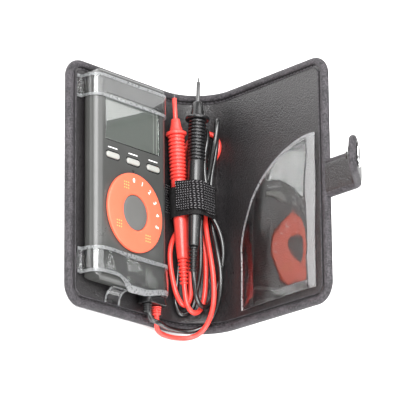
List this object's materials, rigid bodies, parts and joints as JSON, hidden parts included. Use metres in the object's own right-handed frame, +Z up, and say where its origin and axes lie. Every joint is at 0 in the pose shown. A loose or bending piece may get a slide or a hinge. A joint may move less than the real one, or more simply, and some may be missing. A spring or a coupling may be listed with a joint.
{
  "type": "component tester",
  "caption": "Slim handheld component tester strapped in an open folding leatherette wallet, with display, range dial, three buttons, two hard-wired probes and a snap closing strap.",
  "frame": {"origin": "on the outer face of the left cover, which lies flat, under the meter's centre line and half way up the wallet", "axes": "+Z up out of the left cover, +Y along the spine towards the meter's head, +X from the left cover's outer edge to the spine"},
  "size_m": [0.0988, 0.1394, 0.1396],
  "materials": {
    "leatherette": "fine pebbled black leatherette, satin",
    "binding": "soft dark grey edge tape",
    "clear_sheet": "clear soft PVC, glossy",
    "case_grey": "dark grey, satin",
    "case_back": "dark grey, satin",
    "hub_grey": "dark grey, satin",
    "orange": "orange, satin gloss",
    "button_grey": "pale grey silicone",
    "lens": "clear polished lens",
    "lcd": "grey-green reflective display",
    "board_green": "solder-masked board",
    "black_plastic": "moulded black",
    "black_rubber": "soft black moulding",
    "red_rubber": "soft red moulding, gloss",
    "red_jacket": "red lead jacket, gloss",
    "steel": "nickel-plated steel",
    "chrome": "polished stud cap",
    "brass": "spring brass",
    "woven_tape": "woven black hook-and-loop tape"
  },
  "bodies": {
    "left_cover": {"left_cover_panel": "leatherette", "left_cover_binding": "binding", "snap_socket": "steel", "meter_rear_case": "case_back", "meter_front_case": "case_grey", "case_screws": "steel", "display_lens": "lens", "tact_switches": "black_plastic", "dial_hub": "hub_grey", "detent_spring": "brass", "circuit_board": "board_green", "lcd_glass": "lcd", "zebra_strips": "black_rubber", "coin_cell": "steel", "battery_clip": "brass", "buzzer": "black_plastic", "main_chip": "black_plastic", "board_parts": "black_plastic", "lead_boot": "black_rubber", "black_boot_relief": "black_rubber", "red_boot_relief": "red_rubber", "red_probe_pin": "steel", "red_probe_sleeve": "red_rubber", "red_probe_handle": "red_rubber", "red_probe_relief": "red_rubber", "top_band": "clear_sheet", "lower_band": "clear_sheet", "bottom_stop": "clear_sheet", "lead_strap_base": "woven_tape", "red_lead": "red_jacket", "black_lead": "black_rubber"},
    "spine_1": {"spine_panel_1": "leatherette"},
    "spine_2": {"spine_panel_2": "leatherette"},
    "spine_3": {"spine_panel_3": "leatherette"},
    "spine_4": {"spine_panel_4": "leatherette"},
    "right_cover": {"right_cover_panel": "leatherette", "right_cover_binding": "binding", "document_pocket": "clear_sheet", "strap_anchor": "leatherette"},
    "strap_root": {"strap_root": "leatherette"},
    "strap_middle": {"strap_middle": "leatherette"},
    "strap_tip": {"strap_tip": "leatherette", "snap_cap": "chrome", "snap_stud": "steel"},
    "hold_button": {"hold_button": "button_grey"},
    "select_button": {"select_button": "button_grey"},
    "range_button": {"range_button": "button_grey"},
    "range_dial": {"range_dial": "orange", "contact_rotor": "black_plastic", "rotor_wipers": "brass"},
    "black_probe": {"black_probe_pin": "steel", "black_probe_handle": "black_rubber", "black_probe_relief": "black_rubber", "lead_strap_loop": "woven_tape"},
    "strap_flap": {"lead_strap_flap": "woven_tape"}
  },
  "joints": [
    {"name": "left_crease", "type": "hinge", "parent": "left_cover", "child": "spine_1", "pos_m": [0.04188, 0, 0.0015], "axis": [0, -1, 0], "range_deg": [-5, 16], "deforming": ["red_lead", "black_lead", "lead_strap_loop"]},
    {"name": "spine_crease_2", "type": "hinge", "parent": "spine_1", "child": "spine_2", "pos_m": [0.04917, 0, 0.00415], "axis": [0, -1, 0], "range_deg": [-5, 16], "deforming": ["red_lead", "black_lead", "lead_strap_loop"]},
    {"name": "spine_crease_3", "type": "hinge", "parent": "spine_2", "child": "spine_3", "pos_m": [0.05511, 0, 0.00914], "axis": [0, -1, 0], "range_deg": [-5, 16], "deforming": ["red_lead", "black_lead", "lead_strap_loop"]},
    {"name": "spine_crease_4", "type": "hinge", "parent": "spine_3", "child": "spine_4", "pos_m": [0.05899, 0, 0.01586], "axis": [0, -1, 0], "range_deg": [-5, 16], "deforming": ["red_lead", "black_lead", "lead_strap_loop"]},
    {"name": "right_crease", "type": "hinge", "parent": "spine_4", "child": "right_cover", "pos_m": [0.06034, 0, 0.0235], "axis": [0, -1, 0], "range_deg": [-80, 16]},
    {"name": "probe_roll", "type": "hinge", "parent": "left_cover", "child": "black_probe", "pos_m": [0.0371, 0.0612, 0.0086], "axis": [0.0445, -0.9988, 0.0201], "range_deg": [-23.75, 76], "deforming": ["red_lead", "black_lead", "lead_strap_loop"]},
    {"name": "strap_flap_peel", "type": "hinge", "parent": "black_probe", "child": "strap_flap", "pos_m": [0.051, 0.00555, 0.0205], "axis": [0, -1, 0], "range_deg": [-70, 0]},
    {"name": "strap_root_crease", "type": "hinge", "parent": "right_cover", "child": "strap_root", "pos_m": [0.04612, 0, 0.10414], "axis": [0, -1, 0], "range_deg": [-30, 90]},
    {"name": "strap_bend", "type": "hinge", "parent": "strap_root", "child": "strap_middle", "pos_m": [0.04308, 0, 0.12137], "axis": [0, 1, 0], "range_deg": [-30, 48]},
    {"name": "strap_tip_bend", "type": "hinge", "parent": "strap_middle", "child": "strap_tip", "pos_m": [0.03418, 0, 0.12693], "axis": [0, -1, 0], "range_deg": [0, 90]},
    {"name": "hold_button_press", "type": "slide", "parent": "left_cover", "child": "hold_button", "axis": [0, 0, -1], "range_m": [0, 0.0005], "stiffness_N_per_m": 300},
    {"name": "select_button_press", "type": "slide", "parent": "left_cover", "child": "select_button", "axis": [0, 0, -1], "range_m": [0, 0.0005], "stiffness_N_per_m": 300},
    {"name": "range_button_press", "type": "slide", "parent": "left_cover", "child": "range_button", "axis": [0, 0, -1], "range_m": [0, 0.0005], "stiffness_N_per_m": 300},
    {"name": "range_dial_turn", "type": "hinge", "parent": "left_cover", "child": "range_dial", "pos_m": [0, -0.0125, 0.0131], "axis": [0, 0, 1], "range_deg": [0, 110]}
  ],
  "couplings": [
    {"joint": "spine_crease_2", "follows": "left_crease", "ratio": 1},
    {"joint": "spine_crease_3", "follows": "left_crease", "ratio": 1},
    {"joint": "spine_crease_4", "follows": "left_crease", "ratio": 1},
    {"joint": "probe_roll", "follows": "left_crease", "ratio": 4.75}
  ]
}
